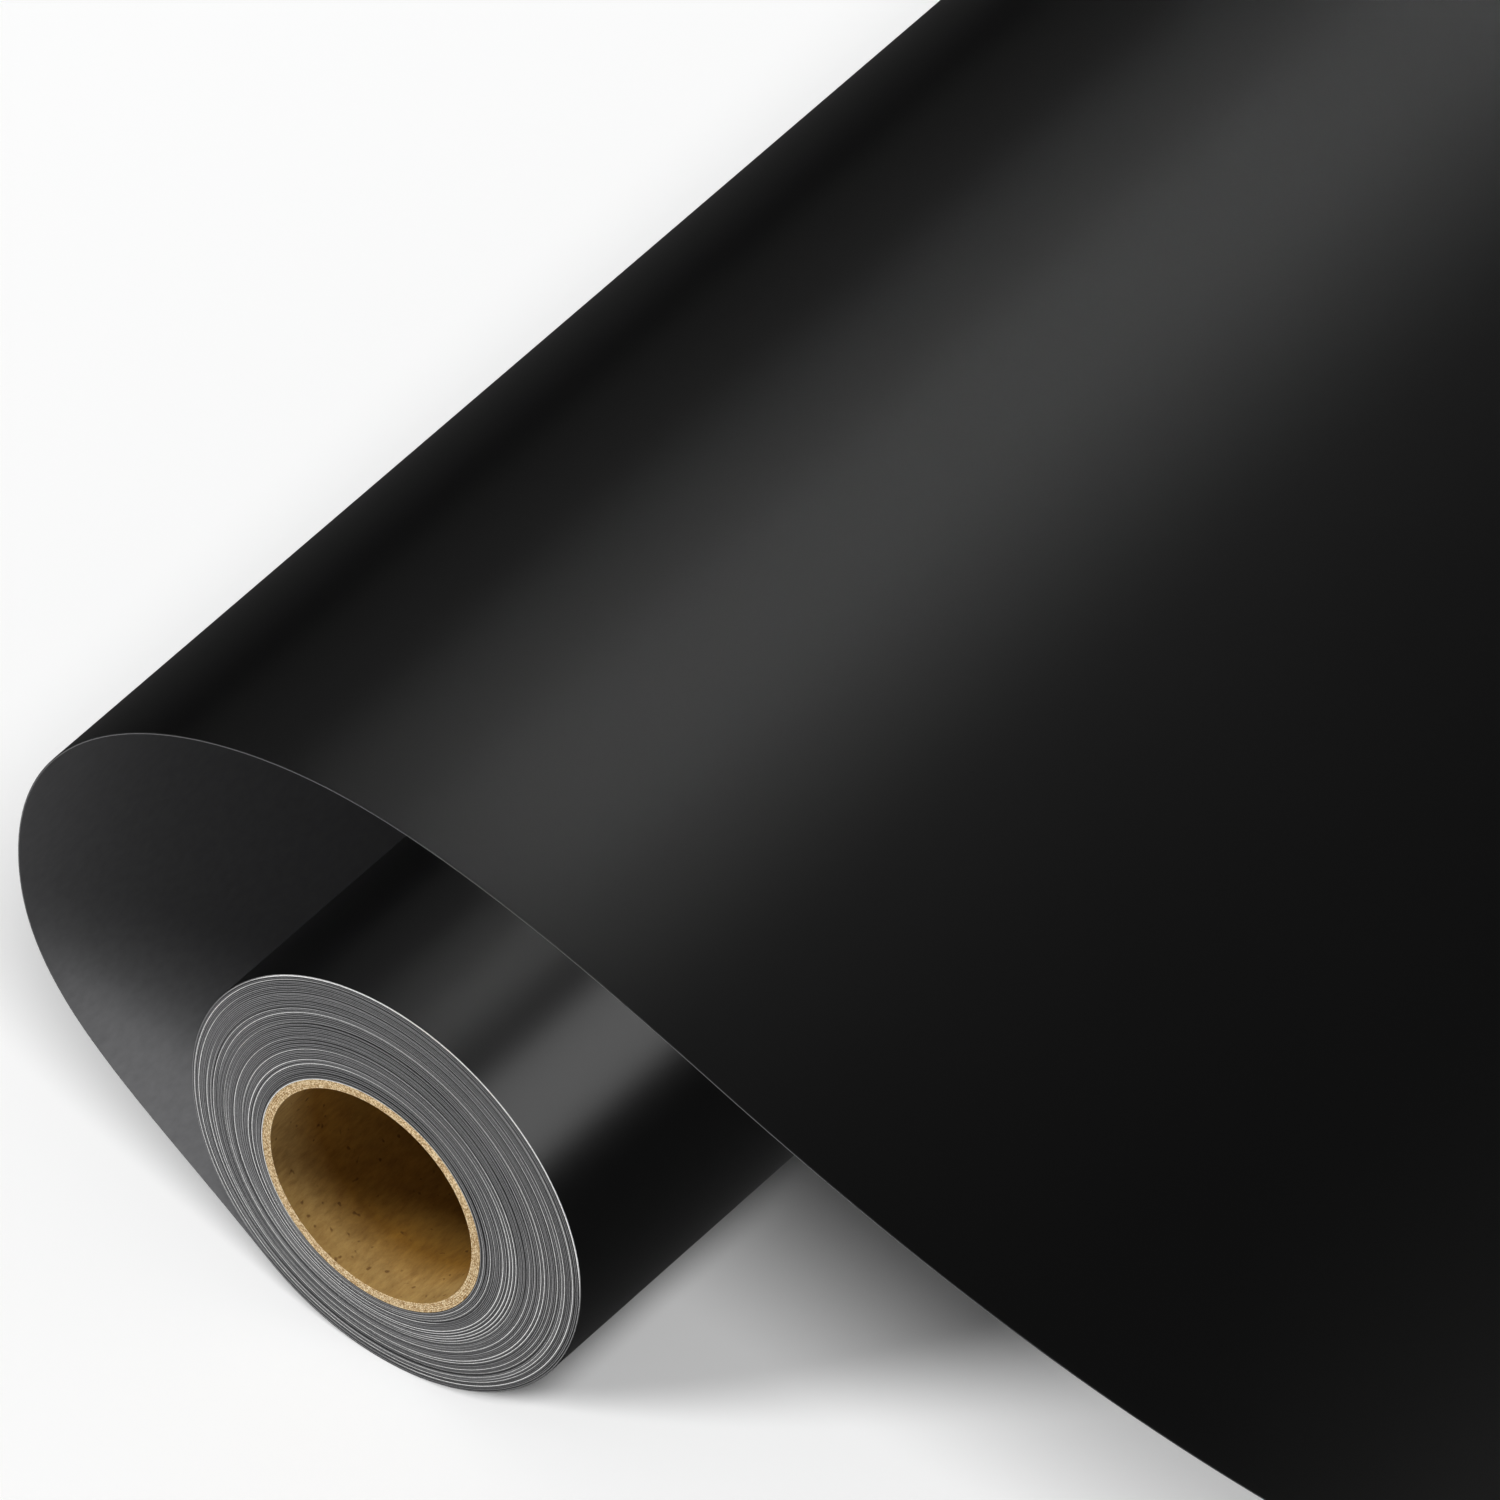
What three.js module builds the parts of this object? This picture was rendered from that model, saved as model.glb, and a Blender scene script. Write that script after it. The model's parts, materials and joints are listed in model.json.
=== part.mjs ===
// A part-used roll of self-adhesive sign vinyl lying on a flat surface.
//
// The roll lies along Y on a paperboard core. Its web (vinyl film on a release liner) leaves the
// roll low on the left, loops back over the top of it and runs down to the surface on the right.
// Millimetres, +Z up, the surface at z = 0, the origin under the middle of the bounding box.

import * as THREE from "three";

// ---- Driving dimensions ----

const WEB_WIDTH = 304.8; // a 12 inch web
const ROLL_RADIUS = 37.1; // outside of the outermost lap
const CORE_BORE_RADIUS = 19.05; // a 1.5 inch core

const FILM = 0.1; // vinyl film with its adhesive
const LINER = 0.14; // coated paper release liner
const LAYER_GAP = 0.01; // between two faces that touch in the real roll
const WEB = FILM + LAYER_GAP + LINER;

const PLY = 0.3; // one strip of kraft paperboard in the core wall
const PLY_GAP = 0.02;
const PLY_NAMES = ["inner", "second", "middle", "fourth", "outer"];

const TAPE = 0.1; // double-sided tape that holds the first lap to the core
const TAPE_WIDTH = 12;
const TAPE_GAP = 0.03;

const MODELLED_LAPS = 6; // turns of the coarse spiral, each standing for about ten real laps
const LAP_GAP = 0.02;
const RUNNING_GAP = 0.3; // between the wound laps, which turn, and the outer lap, which doesn't
const PIECE_GAP = 0.3; // between the standing web and its sliding tail
const TELESCOPE = 3.35; // how far the core stands out of the outer lap at the near end

const STEPS_PER_TURN = 48;
const STEPS_PER_BEND = 14;
const STEPS_ACROSS_TAPE = 12;

// ---- The web's path in the plane across the roll, from the roll's axis ----

const LEAVING_ANGLE = degrees(232); // where the web leaves the roll, anticlockwise from +X
const WRAP_CLEARANCE = 0.1; // between the outer lap's hidden start and the web that leaves over it

// Each knot of the free web: where it is, which way the web heads there, and how far the bend
// reaches before and after it.
const SURFACE = -ROLL_RADIUS; // height of the surface under the roll's axis
const FREE_KNOTS = [
  {
    x: ROLL_RADIUS * Math.cos(LEAVING_ANGLE),
    z: ROLL_RADIUS * Math.sin(LEAVING_ANGLE),
    heading: LEAVING_ANGLE - Math.PI / 2,
    reachOut: 32,
  },
  { x: -69.5, z: 26, heading: degrees(90), reachIn: 27, reachOut: 32.5 }, // furthest left
  { x: -7, z: 75, heading: 0, reachIn: 30, reachOut: 26 }, // top of the loop
  { x: 64.5, z: 57, heading: degrees(-20.5), reachIn: 14.5, reachOut: 38 }, // steepest run
  { x: 190, z: 35, heading: degrees(3), reachIn: 47.5, reachOut: 75 }, // level again
  { x: 345, z: SURFACE + WEB, heading: 0, reachIn: 75 }, // down on the surface
];
const TAIL_START = 360; // the web lies flat from the last knot to here, and the tail carries on
const TAIL_END = 405; // the cut end

// ---- Place of the roll's axis, so that the origin is under the middle of the bounding box ----

const FURTHEST_LEFT = FREE_KNOTS[1].x;
const AXIS_X = -(FURTHEST_LEFT + TAIL_END) / 2;
const AXIS_Z = ROLL_RADIUS;
const NEAR_Y = (TELESCOPE - WEB_WIDTH) / 2; // near edge of the web

function degrees(angle) {
  return (angle * Math.PI) / 180;
}

// ---- Materials ----

function material(color, roughness) {
  return new THREE.MeshStandardMaterial({ color, roughness, metalness: 0 });
}

const MATERIALS = {
  kraft: () => material(0xb39868, 0.95),
  tape: () => material(0xd8d2bf, 0.5),
  film: () => material(0x141414, 0.55),
  liner: () => material(0x55565a, 0.6),
};

// ---- Paths: each station has a point and the outward normal of the film side there ----

function station(x, z, normalAngle) {
  return { x, z, nx: Math.cos(normalAngle), nz: Math.sin(normalAngle) };
}

// A spiral seen from the near end: it starts at the angle `from` and goes clockwise for `sweep`
// while its radius grows evenly.
function spiral(from, sweep, startRadius, endRadius) {
  const steps = Math.round((sweep / (2 * Math.PI)) * STEPS_PER_TURN);
  const stations = [];
  for (let i = 0; i <= steps; i++) {
    const share = i / steps;
    const angle = from - share * sweep;
    const radius = startRadius + share * (endRadius - startRadius);
    stations.push(station(radius * Math.cos(angle), radius * Math.sin(angle), angle));
  }
  return stations;
}

// The bend from one knot of the web to the next, without its first station.
function bend(start, end) {
  const curve = new THREE.CubicBezierCurve(
    new THREE.Vector2(start.x, start.z),
    new THREE.Vector2(
      start.x + start.reachOut * Math.cos(start.heading),
      start.z + start.reachOut * Math.sin(start.heading),
    ),
    new THREE.Vector2(
      end.x - end.reachIn * Math.cos(end.heading),
      end.z - end.reachIn * Math.sin(end.heading),
    ),
    new THREE.Vector2(end.x, end.z),
  );
  const stations = [];
  for (let i = 1; i <= STEPS_PER_BEND; i++) {
    const point = curve.getPoint(i / STEPS_PER_BEND);
    const tangent = curve.getTangent(i / STEPS_PER_BEND);
    stations.push(station(point.x, point.y, Math.atan2(tangent.x, -tangent.y)));
  }
  return stations;
}

// The outer lap round the roll, then every bend of the free web, then the flat run to the tail.
function standingPath() {
  const lapStart = ROLL_RADIUS - WEB - WRAP_CLEARANCE;
  const path = spiral(LEAVING_ANGLE, 2 * Math.PI, lapStart, ROLL_RADIUS);
  for (let i = 1; i < FREE_KNOTS.length; i++) {
    path.push(...bend(FREE_KNOTS[i - 1], FREE_KNOTS[i]));
  }
  path.push(station(TAIL_START, SURFACE + WEB, Math.PI / 2));
  return path;
}

function tailPath() {
  const height = SURFACE + WEB;
  return [
    station(TAIL_START + PIECE_GAP, height, Math.PI / 2),
    station(TAIL_END, height, Math.PI / 2),
  ];
}

// ---- Solids ----

// The solid between two depths below a path, across the web's whole width.
function strip(path, shallow, deep) {
  const at = (s, depth) => new THREE.Vector2(s.x - depth * s.nx, s.z - depth * s.nz);
  const outline = [
    ...path.map((s) => at(s, shallow)),
    ...path.map((s) => at(s, deep)).reverse(),
  ];
  const geometry = new THREE.ExtrudeGeometry(new THREE.Shape(outline), {
    depth: WEB_WIDTH,
    bevelEnabled: false,
    steps: 1,
  });
  // Extruded along +Z from the near edge: turn it so that the extrusion runs along +Y.
  geometry.rotateX(Math.PI / 2);
  geometry.translate(0, WEB_WIDTH, 0);
  return geometry;
}

// The wound laps slid along each other into a shallow cone, with the core end standing out most.
function telescoped(geometry) {
  const position = geometry.getAttribute("position");
  for (let i = 0; i < position.count; i++) {
    const radius = Math.hypot(position.getX(i), position.getZ(i));
    const depth = (ROLL_RADIUS - radius) / (ROLL_RADIUS - coreOuterRadius());
    position.setY(i, position.getY(i) - TELESCOPE * depth);
  }
  return geometry;
}

function coreOuterRadius() {
  return CORE_BORE_RADIUS + PLY_NAMES.length * (PLY + PLY_GAP) - PLY_GAP;
}

function tube(innerRadius, outerRadius) {
  const near = -TELESCOPE;
  const far = near + WEB_WIDTH;
  const profile = [
    new THREE.Vector2(innerRadius, near),
    new THREE.Vector2(outerRadius, near),
    new THREE.Vector2(outerRadius, far),
    new THREE.Vector2(innerRadius, far),
    new THREE.Vector2(innerRadius, near),
  ];
  return new THREE.LatheGeometry(profile, STEPS_PER_TURN);
}

// ---- Pieces ----

function named(name, geometry, finish) {
  const mesh = new THREE.Mesh(geometry, MATERIALS[finish]());
  mesh.name = name;
  return mesh;
}

// The paperboard core: plies of kraft paper, one round the other.
function corePlies() {
  return PLY_NAMES.map((name, i) => {
    const inner = CORE_BORE_RADIUS + i * (PLY + PLY_GAP);
    return named(`core_${name}_ply`, tube(inner, inner + PLY), "kraft");
  });
}

// A strip of double-sided tape along the top of the core, under the first lap.
function startTape() {
  const outside = coreOuterRadius() + TAPE_GAP + TAPE;
  const sweep = TAPE_WIDTH / outside;
  const path = [];
  for (let i = 0; i <= STEPS_ACROSS_TAPE; i++) {
    const angle = Math.PI / 2 + (0.5 - i / STEPS_ACROSS_TAPE) * sweep;
    path.push(station(outside * Math.cos(angle), outside * Math.sin(angle), angle));
  }
  const geometry = strip(path, 0, TAPE);
  geometry.translate(0, -TELESCOPE, 0);
  return named("start_tape", geometry, "tape");
}

// The wound web: a spiral of liner and a spiral of film, one inside the other.
function woundLaps() {
  const inside = coreOuterRadius() + TAPE + 3 * TAPE_GAP;
  const outside = ROLL_RADIUS - 2 * WEB - WRAP_CLEARANCE - RUNNING_GAP;
  const lap = (outside - inside) / (MODELLED_LAPS + 1);
  const path = spiral(LEAVING_ANGLE, MODELLED_LAPS * 2 * Math.PI, inside + lap, outside);
  const film = ((lap - 2 * LAP_GAP) * FILM) / (FILM + LINER);
  return [
    named("film_wound_laps", telescoped(strip(path, 0, film)), "film"),
    named("liner_wound_laps", telescoped(strip(path, film + LAP_GAP, lap - LAP_GAP)), "liner"),
  ];
}

function layers(name, path) {
  return [
    named(`film_${name}`, strip(path, 0, FILM), "film"),
    named(`liner_${name}`, strip(path, FILM + LAYER_GAP, WEB), "liner"),
  ];
}

// ---- Assembly ----

const roll = new THREE.Group();
roll.add(...corePlies(), startTape(), ...woundLaps());

const standingWeb = new THREE.Group();
standingWeb.add(...layers("outer_lap_and_loop", standingPath()));

const tail = new THREE.Group();
tail.add(...layers("cut_end", tailPath()));

const rollOfVinyl = new THREE.Group();
rollOfVinyl.add(roll, standingWeb, tail);
rollOfVinyl.position.set(AXIS_X, NEAR_Y, AXIS_Z);

export default rollOfVinyl;
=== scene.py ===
"""A part-used roll of matt black sign vinyl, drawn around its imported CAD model.

Metres, +Z up, the surface at z = 0. The roll lies along Y. Its web (vinyl film on a release liner)
leaves it low on the left, loops back over its top and runs down to the surface and a cut end at +X.
"""

import json
import math

import bpy
import numpy as np
from mathutils import Matrix, Vector


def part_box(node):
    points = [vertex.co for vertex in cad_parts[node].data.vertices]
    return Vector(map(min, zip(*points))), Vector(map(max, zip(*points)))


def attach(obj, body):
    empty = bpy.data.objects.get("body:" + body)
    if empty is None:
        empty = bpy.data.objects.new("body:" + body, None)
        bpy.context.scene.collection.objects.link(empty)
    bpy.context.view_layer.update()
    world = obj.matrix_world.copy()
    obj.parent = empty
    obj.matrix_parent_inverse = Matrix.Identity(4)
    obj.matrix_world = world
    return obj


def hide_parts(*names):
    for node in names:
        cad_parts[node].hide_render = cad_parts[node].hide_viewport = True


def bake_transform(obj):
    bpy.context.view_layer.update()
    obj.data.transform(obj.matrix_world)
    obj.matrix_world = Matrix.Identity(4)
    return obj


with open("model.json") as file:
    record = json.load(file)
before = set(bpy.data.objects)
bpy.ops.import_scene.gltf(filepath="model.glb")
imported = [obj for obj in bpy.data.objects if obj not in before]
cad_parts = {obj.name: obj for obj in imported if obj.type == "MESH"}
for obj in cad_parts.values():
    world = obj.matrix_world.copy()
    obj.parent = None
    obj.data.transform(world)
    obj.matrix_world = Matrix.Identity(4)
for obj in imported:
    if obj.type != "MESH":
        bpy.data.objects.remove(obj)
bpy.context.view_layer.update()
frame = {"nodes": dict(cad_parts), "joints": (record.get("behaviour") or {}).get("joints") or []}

# ---- Driving dimensions, the same as the CAD model's ----

ROLL_RADIUS = 0.0371  # outside of the outermost lap
CORE_BORE_RADIUS = 0.01905
FILM = 0.0001
LINER = 0.00014
LAYER_GAP = 0.00001
WEB = FILM + LAYER_GAP + LINER
PLY = 0.0003
PLY_GAP = 0.00002
PLY_NAMES = ["inner", "second", "middle", "fourth", "outer"]
TELESCOPE = 0.00335  # how far the core stands out of the outer lap at the near end
LEAVING_ANGLE = math.radians(232)  # where the web leaves the roll, anticlockwise from +X
WRAP_CLEARANCE = 0.0001

# Knots of the free web, from the roll's axis: x, z, heading in degrees, reach before and after.
FREE_KNOTS = [
    (ROLL_RADIUS * math.cos(LEAVING_ANGLE), ROLL_RADIUS * math.sin(LEAVING_ANGLE), 142, 0, 0.032),
    (-0.0695, 0.026, 90, 0.027, 0.0325),
    (-0.007, 0.075, 0, 0.030, 0.026),
    (0.0645, 0.057, -20.5, 0.0145, 0.038),
    (0.190, 0.035, 3, 0.0475, 0.075),
    (0.345, WEB - ROLL_RADIUS, 0, 0.075, 0),
]
TAIL_END = 0.405

STEPS_PER_TURN = 120
STEPS_PER_BEND = 48
STEPS_ON_TAIL = 40
CORE_STEPS = 192

# ---- Places taken from the frame ----

AXIS = Vector(next(j for j in frame["joints"] if j["name"] == "roll_turn")["pos_m"])
WEB_NEAR, WEB_FAR = (corner.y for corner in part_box("film_outer_lap_and_loop"))
CORE_NEAR, CORE_FAR = (corner.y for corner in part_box("core_inner_ply"))
WEB_WIDTH = WEB_FAR - WEB_NEAR
CORE_OUTER_RADIUS = CORE_BORE_RADIUS + len(PLY_NAMES) * (PLY + PLY_GAP) - PLY_GAP


# ---- Camera, light and floor ----

CAMERA_AZIMUTH = math.radians(38.23)
CAMERA_ELEVATION = math.radians(43.466)
CAMERA_DISTANCE = 4.558
CAMERA_LENS_MM = 720
LOOK_AT = Vector((AXIS.x - 0.0395, WEB_NEAR + 0.1374, 0))


def make_camera():
    data = bpy.data.cameras.new("camera")
    data.lens = CAMERA_LENS_MM
    data.sensor_width = 36
    back = Vector((
        math.sin(CAMERA_AZIMUTH) * math.cos(CAMERA_ELEVATION),
        -math.cos(CAMERA_AZIMUTH) * math.cos(CAMERA_ELEVATION),
        math.sin(CAMERA_ELEVATION),
    ))
    camera = bpy.data.objects.new("camera", data)
    camera.location = LOOK_AT + CAMERA_DISTANCE * back
    camera.rotation_euler = (-back).to_track_quat("-Z", "Y").to_euler()
    bpy.context.scene.collection.objects.link(camera)
    bpy.context.scene.camera = camera


# Softboxes aimed at the roll's near end: the way to the lamp, how far along it, which way the
# lamp's width runs, its width and depth, and its radiance, where white is 1.
AIMED_LIGHTS = {
    "overhead": ((-0.22, -0.31, 0.92), 2.0, (1, 0, 0), 0.7, 0.7, 22),
    "loop_light": ((-0.42, -0.26, 0.87), 2.0, (1, 0, 0), 0.5, 0.5, 53),
    "deep_light": ((0.95, -0.25, 0.10), 2.0, (0, 1, 0), 1.0, 1.0, 1.4),
    "behind": ((0.628, 0.57, 0.532), 1.5, (0.682, 0, -0.731), 0.98, 0.42, 3.8),
    "before": ((-0.42, -0.66, 0.62), 1.8, (1, 0, 0), 0.9, 0.6, 3.0),
}

# Softboxes over the web, side by side along X: edges from the roll's axis, and radiance.
STRIPS = [
    (-0.420, -0.110, 0.130),
    (-0.110, -0.035, 0.580),
    (-0.035, 0.025, 1.300),
    (0.025, 0.055, 0.580),
]
STRIP_HEIGHT = 0.180  # over the roll's axis
STRIP_MIDDLE = 0.290  # from the web's near edge
STRIP_LENGTH = 0.460

# Suns for the floor: azimuth from +X and elevation in degrees, and how bright they make a white
# card that faces them.
FLOOR_SUNS = {"floor_left": (236, 24, 1.02), "floor_right": (313, 50, 0.58)}
SUN_ANGLE = math.radians(18)

HORIZON_STRENGTH = 0.5
SKY_STRENGTH = 0.2
HORIZON_FADE = (0.12, 0.30)  # heights on the unit sphere between which the horizon turns to sky


def make_lights(floor, pieces, film_pieces, liner_sheet):
    """Lights for the pieces, suns for the floor, and softboxes that only the film or the loop sees."""
    make_world()
    for name, (azimuth, elevation, brightness) in FLOOR_SUNS.items():
        floor_sun(name, math.radians(azimuth), math.radians(elevation), brightness, floor)
    aimed_light("overhead", [piece for piece in pieces if piece not in film_pieces])
    aimed_light("loop_light", [liner_sheet])
    shadowless(aimed_light("deep_light", [liner_sheet]))
    shadowless(aimed_light("behind", film_pieces))
    aimed_light("before", film_pieces)
    for i, (low, high, radiance) in enumerate(STRIPS):
        x = AXIS.x + (low + high) / 2
        place = Vector((x, WEB_NEAR + STRIP_MIDDLE, AXIS.z + STRIP_HEIGHT))
        below = place - Vector((0, 0, 1))
        across = Vector((1, 0, 0))
        strip = soft_light(f"strip_{i}", place, below, across, high - low, STRIP_LENGTH, radiance)
        shadowless(strip)
        lit_by(strip, film_pieces)


def aimed_light(name, pieces):
    """The softbox of that name, which lights these pieces only."""
    way, distance, side, width, depth, radiance = AIMED_LIGHTS[name]
    roll = Vector((AXIS.x, WEB_NEAR, AXIS.z))
    place = roll + distance * Vector(way)
    lamp = soft_light(name, place, roll, Vector(side), width, depth, radiance)
    lit_by(lamp, pieces)
    return lamp


def soft_light(name, place, target, side, width, depth, radiance):
    """A rectangular softbox with its width along side."""
    data = bpy.data.lights.new(name, "AREA")
    data.shape = "RECTANGLE"
    data.size = width
    data.size_y = depth
    data.energy = radiance * math.pi * width * depth
    back = (place - target).normalized()
    across = (side - side.dot(back) * back).normalized()
    lamp = bpy.data.objects.new(name, data)
    lamp.location = place
    lamp.rotation_euler = Matrix((across, back.cross(across), back)).transposed().to_euler()
    lamp.visible_camera = False
    bpy.context.scene.collection.objects.link(lamp)
    return lamp


def make_world():
    """White round the horizon and dim overhead, and not seen in reflections."""
    world = bpy.data.worlds.new("studio")
    world.use_nodes = True
    tree = world.node_tree
    place = tree.nodes.new("ShaderNodeTexCoord")
    split = tree.nodes.new("ShaderNodeSeparateXYZ")
    tree.links.new(place.outputs["Generated"], split.inputs["Vector"])
    height = split.outputs["Z"]
    strength = range_node(tree, height, *HORIZON_FADE, HORIZON_STRENGTH, SKY_STRENGTH)
    background = tree.nodes["Background"]
    background.inputs["Color"].default_value = (1, 1, 1, 1)
    tree.links.new(strength, background.inputs["Strength"])
    world.cycles_visibility.glossy = False
    bpy.context.scene.world = world


def floor_sun(name, azimuth, elevation, brightness, floor):
    """A wide sun for the floor only; a brightness of 1 makes a white card facing it white."""
    data = bpy.data.lights.new(name, "SUN")
    data.energy = math.pi * brightness
    data.angle = SUN_ANGLE
    back = Vector((
        math.cos(elevation) * math.cos(azimuth),
        math.cos(elevation) * math.sin(azimuth),
        math.sin(elevation),
    ))
    sun = bpy.data.objects.new(name, data)
    sun.rotation_euler = back.to_track_quat("Z", "Y").to_euler()
    bpy.context.scene.collection.objects.link(sun)
    lit_by(sun, [floor])


def shadowless(lamp):
    """Lets the lamp shine through the web, and aims every ray for it at the lamp itself."""
    lamp.data.use_shadow = False
    lamp.data.cycles.use_multiple_importance_sampling = False


def lit_by(lamp, pieces):
    """Makes the lamp light these pieces only."""
    lamp.light_linking.receiver_collection = bpy.data.collections.new(lamp.name + "_lights")
    for piece in pieces:
        lamp.light_linking.receiver_collection.objects.link(piece)


FLOOR_HALF = 30
FLOOR_DEPTH = 0.00005  # under the web, which lies on z = 0
CARD_DEPTH = 0.0001


def make_floor(name, material, depth):
    mesh = bpy.data.meshes.new(name)
    corners = [(FLOOR_HALF * x, FLOOR_HALF * y, 0) for x, y in ((-1, -1), (1, -1), (1, 1), (-1, 1))]
    mesh.from_pydata(corners, [], [(0, 1, 2, 3)])
    mesh.materials.append(material)
    floor = bpy.data.objects.new(name, mesh)
    floor.location.z = -depth
    bpy.context.scene.collection.objects.link(floor)
    return floor


def make_floors():
    """The pale floor, and a dark card in its place that only reflections see."""
    floor = make_floor("floor", floor_face("studio_floor", 0.92), FLOOR_DEPTH)
    floor.visible_glossy = False
    card = make_floor("dark_card", floor_face("dark_card", 0.13), CARD_DEPTH)
    card.visible_camera = False
    card.visible_diffuse = False
    card.visible_shadow = False
    return floor


# ---- Materials ----

def new_material(name, color, roughness, specular=0.5):
    """A material with its node tree and its shader."""
    material = bpy.data.materials.new(name)
    material.use_nodes = True
    tree = material.node_tree
    shader = tree.nodes["Principled BSDF"]
    shader.inputs["Base Color"].default_value = (*color, 1)
    shader.inputs["Roughness"].default_value = roughness
    shader.inputs["Specular IOR Level"].default_value = specular
    return material, tree, shader


def noise_node(tree, scale, stretch=(1, 1, 1), detail=4.0, roughness=0.6):
    """Noise in the row frame, in features per metre, squeezed by stretch along each axis."""
    place = tree.nodes.new("ShaderNodeTexCoord")
    squeeze = tree.nodes.new("ShaderNodeMapping")
    squeeze.inputs["Scale"].default_value = stretch
    noise = tree.nodes.new("ShaderNodeTexNoise")
    noise.inputs["Scale"].default_value = scale
    noise.inputs["Detail"].default_value = detail
    noise.inputs["Roughness"].default_value = roughness
    tree.links.new(place.outputs["Object"], squeeze.inputs["Vector"])
    tree.links.new(squeeze.outputs["Vector"], noise.inputs["Vector"])
    return noise.outputs["Fac"]


def ramp_node(tree, value, stops):
    """Colours by value: stops are (place, colour)."""
    ramp = tree.nodes.new("ShaderNodeValToRGB")
    elements = ramp.color_ramp.elements
    while len(elements) < len(stops):
        elements.new(0.5)
    for element, (place, color) in zip(elements, stops):
        element.position = place
        element.color = (*color, 1)
    tree.links.new(value, ramp.inputs["Fac"])
    return ramp.outputs["Color"]


def range_node(tree, value, low, high, out_low, out_high):
    """The value carried from one range to another, and held at its ends."""
    remap = tree.nodes.new("ShaderNodeMapRange")
    remap.inputs["From Min"].default_value = low
    remap.inputs["From Max"].default_value = high
    remap.inputs["To Min"].default_value = out_low
    remap.inputs["To Max"].default_value = out_high
    tree.links.new(value, remap.inputs["Value"])
    return remap.outputs["Result"]


def multiply_node(tree, first, second):
    """The product of two colours."""
    mix = tree.nodes.new("ShaderNodeMix")
    mix.data_type = "RGBA"
    mix.blend_type = "MULTIPLY"
    sockets = {socket.name: socket for socket in mix.inputs if socket.enabled}
    sockets["Factor"].default_value = 1
    tree.links.new(first, sockets["A"])
    tree.links.new(second, sockets["B"])
    return next(socket for socket in mix.outputs if socket.enabled)


def bump_node(tree, shader, height, distance):
    bump = tree.nodes.new("ShaderNodeBump")
    bump.inputs["Distance"].default_value = distance
    bump.inputs["Strength"].default_value = 1
    tree.links.new(height, bump.inputs["Height"])
    tree.links.new(bump.outputs["Normal"], shader.inputs["Normal"])


def film_face():
    """Matt black calendered vinyl: a fine grain, and a sheen that varies a little along the web."""
    material, tree, shader = new_material("vinyl_film_face", (0.001, 0.001, 0.001), 0.32)
    grain = noise_node(tree, 2600, detail=2.0)
    cloud = noise_node(tree, 14, stretch=(1, 0.4, 1), detail=3.0)
    tree.links.new(range_node(tree, cloud, 0.3, 0.7, 0.31, 0.33), shader.inputs["Roughness"])
    color = ramp_node(tree, grain, [(0.3, (0.0007,) * 3), (0.7, (0.0014,) * 3)])
    tree.links.new(color, shader.inputs["Base Color"])
    bump_node(tree, shader, grain, 0.000009)
    return material


def edge_tone(tree, stops):
    """Colours by the tone that each point of an edge was given, from 0 dark to 1 white."""
    tone = tree.nodes.new("ShaderNodeAttribute")
    tone.attribute_name = "tone"
    return ramp_node(tree, tone.outputs["Fac"], stops)


def film_edge():
    """The film's cut edge: nearly black, and whitened by its tone: a painted highlight round the
    roll's upper right, and pale lines on the wound laps.
    """
    material, tree, shader = new_material("vinyl_film_edge", (0.05, 0.05, 0.05), 0.6)
    stops = [(0.0, (0.02,) * 3), (0.5, (0.07,) * 3), (0.8, (0.35,) * 3), (1.0, (0.95,) * 3)]
    fibre = noise_node(tree, 5000, detail=2.0)
    speckle = ramp_node(tree, fibre, [(0.35, (0.75,) * 3), (0.6, (1.0,) * 3)])
    color = multiply_node(tree, edge_tone(tree, stops), speckle)
    tree.links.new(color, shader.inputs["Base Color"])
    return material


def liner_face():
    """The liner's back: smooth dark grey coated paper with a satin sheen."""
    material, tree, shader = new_material("liner_back", (0.11, 0.11, 0.113), 0.42)
    fibre = noise_node(tree, 900, stretch=(1, 0.5, 1), detail=4.0)
    color = ramp_node(tree, fibre, [(0.3, (0.10, 0.10, 0.103)), (0.7, (0.12, 0.12, 0.123))])
    tree.links.new(color, shader.inputs["Base Color"])
    bump_node(tree, shader, fibre, 0.000003)
    return material


def liner_edge():
    """The liner's cut edge: paper fibres, from dark through grey to white by the tone."""
    material, tree, shader = new_material("liner_cut_edge", (0.3, 0.3, 0.3), 0.9)
    stops = [
        (0.0, (0.06, 0.06, 0.063)),
        (0.35, (0.24, 0.24, 0.245)),
        (0.65, (0.34, 0.34, 0.345)),
        (0.9, (0.95, 0.95, 0.94)),
    ]
    fibre = noise_node(tree, 4000, detail=3.0)
    speckle = ramp_node(tree, fibre, [(0.35, (0.7,) * 3), (0.6, (1.0,) * 3)])
    color = multiply_node(tree, edge_tone(tree, stops), speckle)
    tree.links.new(color, shader.inputs["Base Color"])
    return material


def kraft_cut():
    """The core's cut end: pale tan board with coarse fibre specks."""
    material, tree, shader = new_material("kraft_cut_end", (0.62, 0.44, 0.23), 0.95, 0.2)
    fibre = noise_node(tree, 3600, detail=3.0, roughness=0.7)
    stops = [(0.36, (0.34, 0.19, 0.07)), (0.5, (0.70, 0.50, 0.265)), (0.62, (1.0, 0.83, 0.55))]
    tree.links.new(ramp_node(tree, fibre, stops), shader.inputs["Base Color"])
    bump_node(tree, shader, fibre, 0.00015)
    return material


BORE_SHADE_DEPTHS = (0.004, 0.026)  # depths in the near end between which the painted shade in the bore changes


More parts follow.
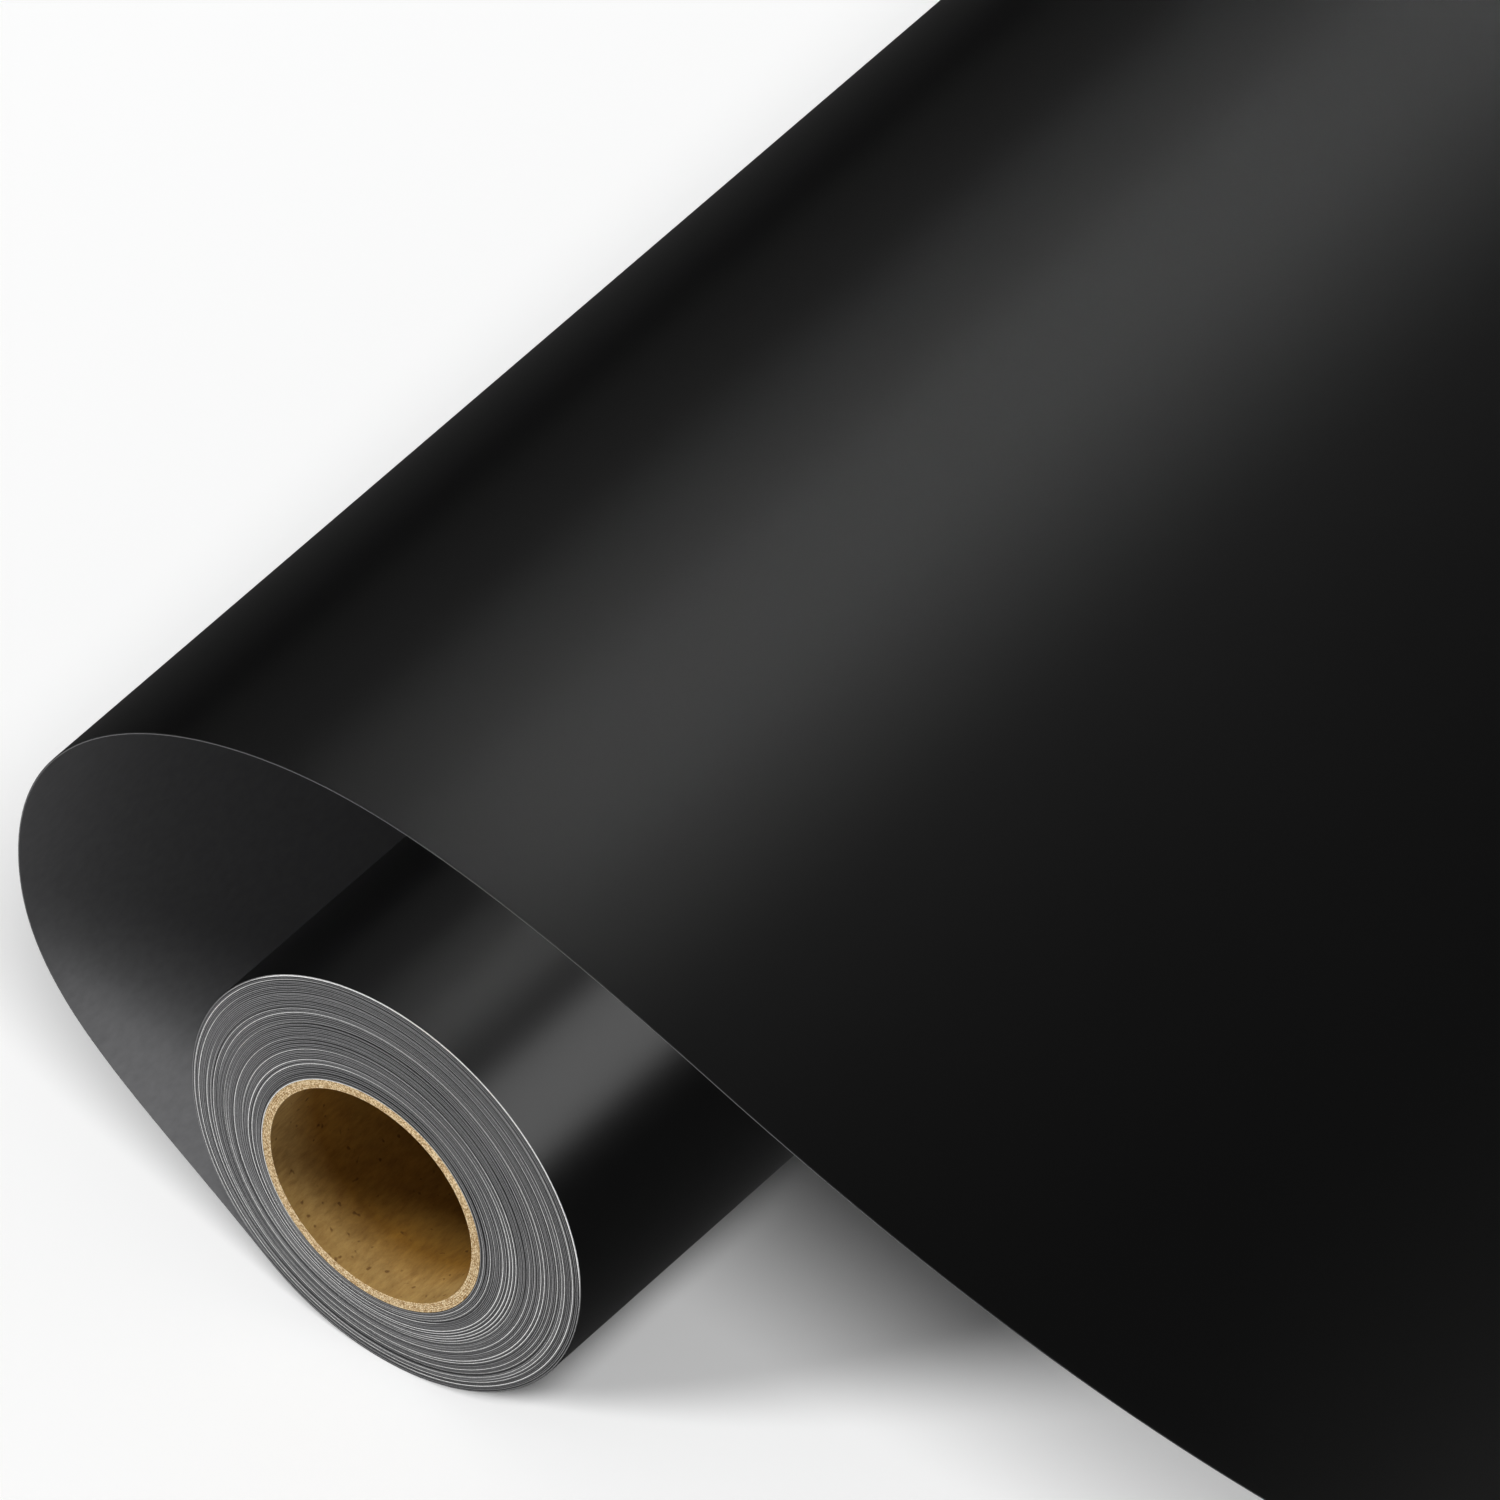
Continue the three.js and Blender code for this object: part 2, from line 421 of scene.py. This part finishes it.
def bore_painted_shade(tree):
    """Painted shade in the bore: pale at the tube's near end, deep brown about a centimetre in and
    lighter further on.
    """
    place = tree.nodes.new("ShaderNodeTexCoord")
    split = tree.nodes.new("ShaderNodeSeparateXYZ")
    tree.links.new(place.outputs["Object"], split.inputs["Vector"])
    low, high = (CORE_NEAR + depth for depth in BORE_SHADE_DEPTHS)
    stops = [(0.0, (0.92,) * 3), (0.3, (0.68, 0.53, 0.20)), (1.0, (1.0, 0.94, 0.64))]
    return ramp_node(tree, range_node(tree, split.outputs["Y"], low, high, 0, 1), stops)


def kraft_face():
    """The core's kraft surface: brown paper with fibres along the tube and a few dark specks, and
    painted shade inside the near end of the bore.
    """
    material, tree, shader = new_material("kraft_surface", (0.5, 0.3, 0.1), 0.8, 0.3)
    fibre = noise_node(tree, 900, stretch=(1, 0.35, 1), detail=6.0, roughness=0.7)
    cloud = noise_node(tree, 120, stretch=(1, 0.7, 1), detail=3.0)
    speck = noise_node(tree, 700, detail=1.0)
    tan = ramp_node(tree, fibre, [(0.3, (0.32, 0.18, 0.05)), (0.7, (0.52, 0.33, 0.105))])
    shade = ramp_node(tree, cloud, [(0.3, (0.78,) * 3), (0.7, (1.0,) * 3)])
    spots = ramp_node(tree, speck, [(0.26, (0.5, 0.42, 0.35)), (0.32, (1.0,) * 3)])
    spotted = multiply_node(tree, multiply_node(tree, tan, shade), spots)
    # painted shade: the bore darkens about a centimetre into its near end
    color = multiply_node(tree, spotted, bore_painted_shade(tree))
    tree.links.new(color, shader.inputs["Base Color"])
    bump_node(tree, shader, fibre, 0.00004)
    return material


def tape_face():
    """Translucent double-sided tape, a little yellow."""
    material, tree, shader = new_material("tape", (0.7, 0.66, 0.5), 0.4)
    cloud = noise_node(tree, 400, detail=3.0)
    color = ramp_node(tree, cloud, [(0.3, (0.62, 0.57, 0.42)), (0.7, (0.78, 0.74, 0.58))])
    tree.links.new(color, shader.inputs["Base Color"])
    return material


def floor_face(name, grey):
    """A matt studio sweep."""
    material, tree, shader = new_material(name, (grey, grey, grey), 0.9, 0.0)
    cloud = noise_node(tree, 3, detail=2.0)
    color = ramp_node(tree, cloud, [(0.3, (0.99 * grey,) * 3), (0.7, (grey,) * 3)])
    tree.links.new(color, shader.inputs["Base Color"])
    return material


# ---- Paths in the plane across the roll: points from the axis, and outward normals ----

def spiral(start_angle, turns, start_radius, end_radius):
    """Clockwise seen from the near end, with an evenly growing radius."""
    share = np.linspace(0, 1, round(turns * STEPS_PER_TURN) + 1)
    angle = start_angle - share * turns * 2 * math.pi
    radius = start_radius + share * (end_radius - start_radius)
    normals = np.stack([np.cos(angle), np.sin(angle)], axis=1)
    return radius[:, None] * normals, normals


def bend(start, end):
    """The cubic bend between two knots, without its first point."""
    x0, z0, heading0, _, reach0 = start
    x1, z1, heading1, reach1, _ = end
    way0 = np.array([math.cos(math.radians(heading0)), math.sin(math.radians(heading0))])
    way1 = np.array([math.cos(math.radians(heading1)), math.sin(math.radians(heading1))])
    a = np.array([x0, z0])
    d = np.array([x1, z1])
    b = a + reach0 * way0
    c = d - reach1 * way1
    t = np.linspace(0, 1, STEPS_PER_BEND + 1)[1:, None]
    points = (1 - t) ** 3 * a + 3 * (1 - t) ** 2 * t * b + 3 * (1 - t) * t**2 * c + t**3 * d
    slope = (1 - t) ** 2 * (b - a) + 2 * (1 - t) * t * (c - b) + t**2 * (d - c)
    slope /= np.linalg.norm(slope, axis=1, keepdims=True)
    return points, np.stack([-slope[:, 1], slope[:, 0]], axis=1)


def sheet_path():
    """The film's outer face from the start of the outer lap to the cut end."""
    lap_start = ROLL_RADIUS - WEB - WRAP_CLEARANCE
    pieces = [spiral(LEAVING_ANGLE, 1, lap_start, ROLL_RADIUS)]
    pieces += [bend(FREE_KNOTS[i], FREE_KNOTS[i + 1]) for i in range(len(FREE_KNOTS) - 1)]
    x, z = FREE_KNOTS[-1][:2]
    along = np.linspace(x, TAIL_END, STEPS_ON_TAIL + 1)[1:]
    flat = np.stack([along, np.full_like(along, z)], axis=1)
    pieces.append((flat, np.tile([0.0, 1.0], (STEPS_ON_TAIL, 1))))
    return tuple(np.concatenate(part) for part in zip(*pieces))


# ---- Meshes ----

SHARP_ANGLE = math.radians(30)


def solid(name, co, faces, finishes, materials):
    mesh = bpy.data.meshes.new(name)
    mesh.from_pydata(co, [], faces)
    for material in materials:
        mesh.materials.append(material)
    mesh.polygons.foreach_set("material_index", np.array(finishes, np.int32))
    mesh.shade_smooth()
    mesh.set_sharp_from_angle(angle=SHARP_ANGLE)
    piece = bpy.data.objects.new(name, mesh)
    bpy.context.scene.collection.objects.link(piece)
    return piece


def swept(name, path, section, sides, materials, shift=0.0):
    """A closed solid: a section of (place across the web, depth below the path) along a path.

    sides holds each side's material, from one corner to the next, and shift moves each station
    along the roll's axis.
    """
    points, normals = path
    across, depth = np.array(section).T
    count, corners = len(points), len(section)
    x = AXIS.x + points[:, :1] - normals[:, :1] * depth
    z = AXIS.z + points[:, 1:] - normals[:, 1:] * depth
    y = np.broadcast_to(WEB_NEAR + across, x.shape) + np.reshape(shift, (-1, 1))
    co = np.stack([x, y, z], axis=-1).reshape(-1, 3)
    first = corners * np.arange(count - 1)[:, None] + np.arange(corners)
    second = corners * np.arange(count - 1)[:, None] + (np.arange(corners) + 1) % corners
    quads = np.stack([first, first + corners, second + corners, second], axis=-1).reshape(-1, 4)
    caps = [list(range(corners)), list(range(count * corners - 1, (count - 1) * corners - 1, -1))]
    finishes = np.concatenate([np.tile(sides, count - 1), [sides[-1], sides[-1]]])
    return solid(name, co.tolist(), quads.tolist() + caps, finishes, materials)


def paint_tone(piece, tone):
    """Gives the points of each station its tone, which the edge materials read."""
    each = np.repeat(tone, len(piece.data.vertices) // len(tone))
    attribute = piece.data.attributes.new("tone", "FLOAT", "POINT")
    attribute.data.foreach_set("value", each.astype(np.float32))


def wander(rng, places, spacing):
    """Smooth noise between -1 and 1 along the places, with a new value every spacing."""
    steps = places / spacing
    knots = rng.uniform(-1, 1, int(steps.max()) + 3)
    cell = np.floor(steps).astype(int)
    share = steps - cell
    share = share * share * (3 - 2 * share)
    return knots[cell] * (1 - share) + knots[cell + 1] * share


# ---- The web: film and liner ----

EDGE_ROUND = 0.00007  # how far the knife rounds the film's edge


def film_section(width, thickness):
    """The film's corners, eased on the outer face, and each side's material."""
    return [
        (EDGE_ROUND, 0),
        (width - EDGE_ROUND, 0),
        (width, EDGE_ROUND),
        (width, thickness),
        (0, thickness),
        (0, EDGE_ROUND),
    ], [0, 1, 1, 0, 1, 1]


def liner_section(width, top, bottom):
    """The liner's corners, and each side's material."""
    return [(0, top), (width, top), (width, bottom), (0, bottom)], [0, 1, 0, 1]


def sheet_edge_tone(path):
    """The sheet's edge: a painted highlight in white round the roll's upper right, where the outer
    lap's rim catches the light, dark grey elsewhere.
    """
    lap = path[0][: STEPS_PER_TURN + 1]
    angle = np.degrees(np.arctan2(lap[:, 1], lap[:, 0]))
    # painted highlight: the outer lap's edge is whitened round the upper right, where it catches the
    # light
    rim_highlight = np.clip((angle + 15) / 25, 0, 1) * np.clip((150 - angle) / 30, 0, 1)
    tone = np.full(len(path[0]), 0.1)
    tone[: len(lap)] = 0.3 + 0.7 * rim_highlight
    return tone


def make_sheets(film_materials, liner_materials):
    path = sheet_path()
    tone = sheet_edge_tone(path)
    section, sides = film_section(WEB_WIDTH, FILM)
    film = swept("film_sheet", path, section, sides, film_materials)
    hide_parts("film_outer_lap_and_loop", "film_cut_end")
    section, sides = liner_section(WEB_WIDTH, FILM + LAYER_GAP, WEB)
    liner = swept("liner_sheet", path, section, sides, liner_materials)
    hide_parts("liner_outer_lap_and_loop", "liner_cut_end")
    for sheet in (film, liner):
        paint_tone(sheet, tone)
        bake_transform(sheet)
    return film, liner


WOUND_TURNS = 62
WOUND_PITCH = 0.000257
WOUND_END_GAP = 0.00001
LAP_DRIFT = 0.00009  # how far a lap may lie off an even spiral
DRIFT_WAVES = ((1, 2.0), (2, 3.0), (3, 4.5))  # waves round a lap, and waves from core to outside
LAP_SLIDES = ((0.00008, 0.9), (0.00005, 0.3))  # how far a lap slides, and over how many turns
LINER_PROUD = 0.00003  # how far the liner stands in or out of the film's edge
FILM_EDGE_SHARE = 0.7  # how pale the film's edge is beside the liner's


def drifted(path, rng):
    """The path with its laps drawn a little closer together in some places than in others."""
    points, normals = path
    radius = np.hypot(*points.T)
    angle = np.arctan2(points[:, 1], points[:, 0])
    share = (radius - radius[0]) / (radius[-1] - radius[0])
    drift = np.zeros_like(radius)
    for waves_round, waves_out in DRIFT_WAVES:
        phase = rng.uniform(0, 2 * math.pi, 2)
        out = np.sin(2 * math.pi * waves_out * share + phase[0])
        drift += np.sin(waves_round * angle + phase[1]) * out / waves_out
    drift *= LAP_DRIFT * np.sin(math.pi * np.clip(share, 0, 1))
    return points + drift[:, None] * normals, normals


def pale_arcs(rng, turn):
    """How pale the cut edge is, partly paler paper and partly painted highlight: arcs of up to a lap
    that never lie side by side, 0 between them.
    """
    pale = np.zeros_like(turn)
    start = 0.0
    while start < turn[-1]:
        length = rng.uniform(0.55, 0.95)
        share = np.clip((turn - start) / length, 0, 1)
        pale += rng.uniform(0.25, 1.0) * np.sqrt(np.sin(math.pi * share))
        start += length + rng.uniform(1.05, 2.2)
    return pale


def lap_slide(rng, turn, radius):
    """How far each lap's edge lies from the web's near edge: a shallow cone, a little uneven."""
    cone = -TELESCOPE * (ROLL_RADIUS - radius) / (ROLL_RADIUS - CORE_OUTER_RADIUS)
    return cone + sum(size * wander(rng, turn, spacing) for size, spacing in LAP_SLIDES)


def lap_tone(rng, turn, angle):
    """How pale each lap's cut edge is: pale lines, partly paler paper and partly painted highlight,
    each with a line of painted shade one lap further out, strongest at the bottom.
    """
    low = 0.5 - 0.5 * np.cos(angle - math.radians(75))
    contrast = 0.4 + 0.9 * low
    pale = pale_arcs(rng, turn)
    # painted shade: the lap one turn further out than each pale arc is darkened
    dark = np.interp(turn - 1, turn, pale)
    tone = 0.45 + contrast * (0.95 * pale - 0.5 * dark) + 0.07 * wander(rng, turn, 0.4)
    return np.clip(tone + 0.07 * (1 - low) * wander(rng, turn, 3.7), 0, 1)


def make_wound_laps(film_materials, liner_materials):
    """Every lap of the wound web, each slid a little along its neighbour."""
    rng = np.random.default_rng(11)
    end_radius = ROLL_RADIUS - WEB - WRAP_CLEARANCE - WOUND_END_GAP
    start_radius = end_radius - WOUND_TURNS * WOUND_PITCH
    even = spiral(LEAVING_ANGLE, WOUND_TURNS, start_radius, end_radius)
    turn = np.arange(len(even[0])) / STEPS_PER_TURN
    slide = lap_slide(rng, turn, np.hypot(*even[0].T))
    tone = lap_tone(rng, turn, np.arctan2(even[0][:, 1], even[0][:, 0]))
    path = drifted(even, rng)
    section, sides = film_section(WEB_WIDTH, FILM)
    film = swept("film_wound_laps_fine", path, section, sides, film_materials, slide)
    paint_tone(film, FILM_EDGE_SHARE * tone)
    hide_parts("film_wound_laps")
    section, sides = liner_section(WEB_WIDTH, FILM + LAYER_GAP, WEB)
    proud = LINER_PROUD * wander(rng, turn, 0.25)
    liner = swept("liner_wound_laps_fine", path, section, sides, liner_materials, slide + proud)
    paint_tone(liner, tone)
    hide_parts("liner_wound_laps")
    for laps in (film, liner):
        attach(laps, "wound_roll")
    return film, liner


# ---- The core ----

PLY_EASE = 0.00005  # how far a ply's cut ends are rounded


def make_core(materials):
    """Each ply as a smooth tube, with its cut ends a little rounded."""
    plies = []
    for i, name in enumerate(PLY_NAMES):
        inner = CORE_BORE_RADIUS + i * (PLY + PLY_GAP)
        outer = inner + PLY
        profile = [
            (inner, CORE_NEAR + PLY_EASE),
            (inner + PLY_EASE, CORE_NEAR),
            (outer - PLY_EASE, CORE_NEAR),
            (outer, CORE_NEAR + PLY_EASE),
            (outer, CORE_FAR - PLY_EASE),
            (outer - PLY_EASE, CORE_FAR),
            (inner + PLY_EASE, CORE_FAR),
            (inner, CORE_FAR - PLY_EASE),
        ]
        sides = [0, 0, 0, 1, 0, 0, 0, 1]
        ply = turned(f"core_{name}_ply_fine", profile, sides, materials)
        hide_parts(f"core_{name}_ply")
        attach(ply, "wound_roll")
        plies.append(ply)
    return plies


def turned(name, profile, sides, materials):
    """A ring: a closed profile of (radius, y) turned about the roll's axis."""
    angle = np.linspace(0, 2 * math.pi, CORE_STEPS, endpoint=False)[:, None]
    radius, y = np.array(profile).T
    corners = len(profile)
    x = AXIS.x + np.cos(angle) * radius
    z = AXIS.z + np.sin(angle) * radius
    co = np.stack([x, np.broadcast_to(y, x.shape), z], axis=-1).reshape(-1, 3)
    ring = corners * np.arange(CORE_STEPS)[:, None]
    after = corners * ((np.arange(CORE_STEPS) + 1) % CORE_STEPS)[:, None]
    k = np.arange(corners)
    k2 = (k + 1) % corners
    quads = np.stack([ring + k, ring + k2, after + k2, after + k], axis=-1).reshape(-1, 4)
    finishes = np.tile(sides, CORE_STEPS)
    return solid(name, co.tolist(), quads.tolist(), finishes, materials)


def finish_start_tape(material):
    tape = frame["nodes"]["start_tape"]
    tape.data.materials.clear()
    tape.data.materials.append(material)
    return tape


# ---- The whole scene ----

def main():
    bpy.context.scene.view_settings.view_transform = "Standard"
    make_camera()
    floor = make_floors()
    film_materials = [film_face(), film_edge()]
    liner_materials = [liner_face(), liner_edge()]
    film_sheet, liner_sheet = make_sheets(film_materials, liner_materials)
    film_laps, liner_laps = make_wound_laps(film_materials, liner_materials)
    pieces = make_core([kraft_cut(), kraft_face()])
    pieces += [finish_start_tape(tape_face()), film_sheet, liner_sheet, film_laps, liner_laps]
    make_lights(floor, pieces, [film_sheet, film_laps], liner_sheet)


main()
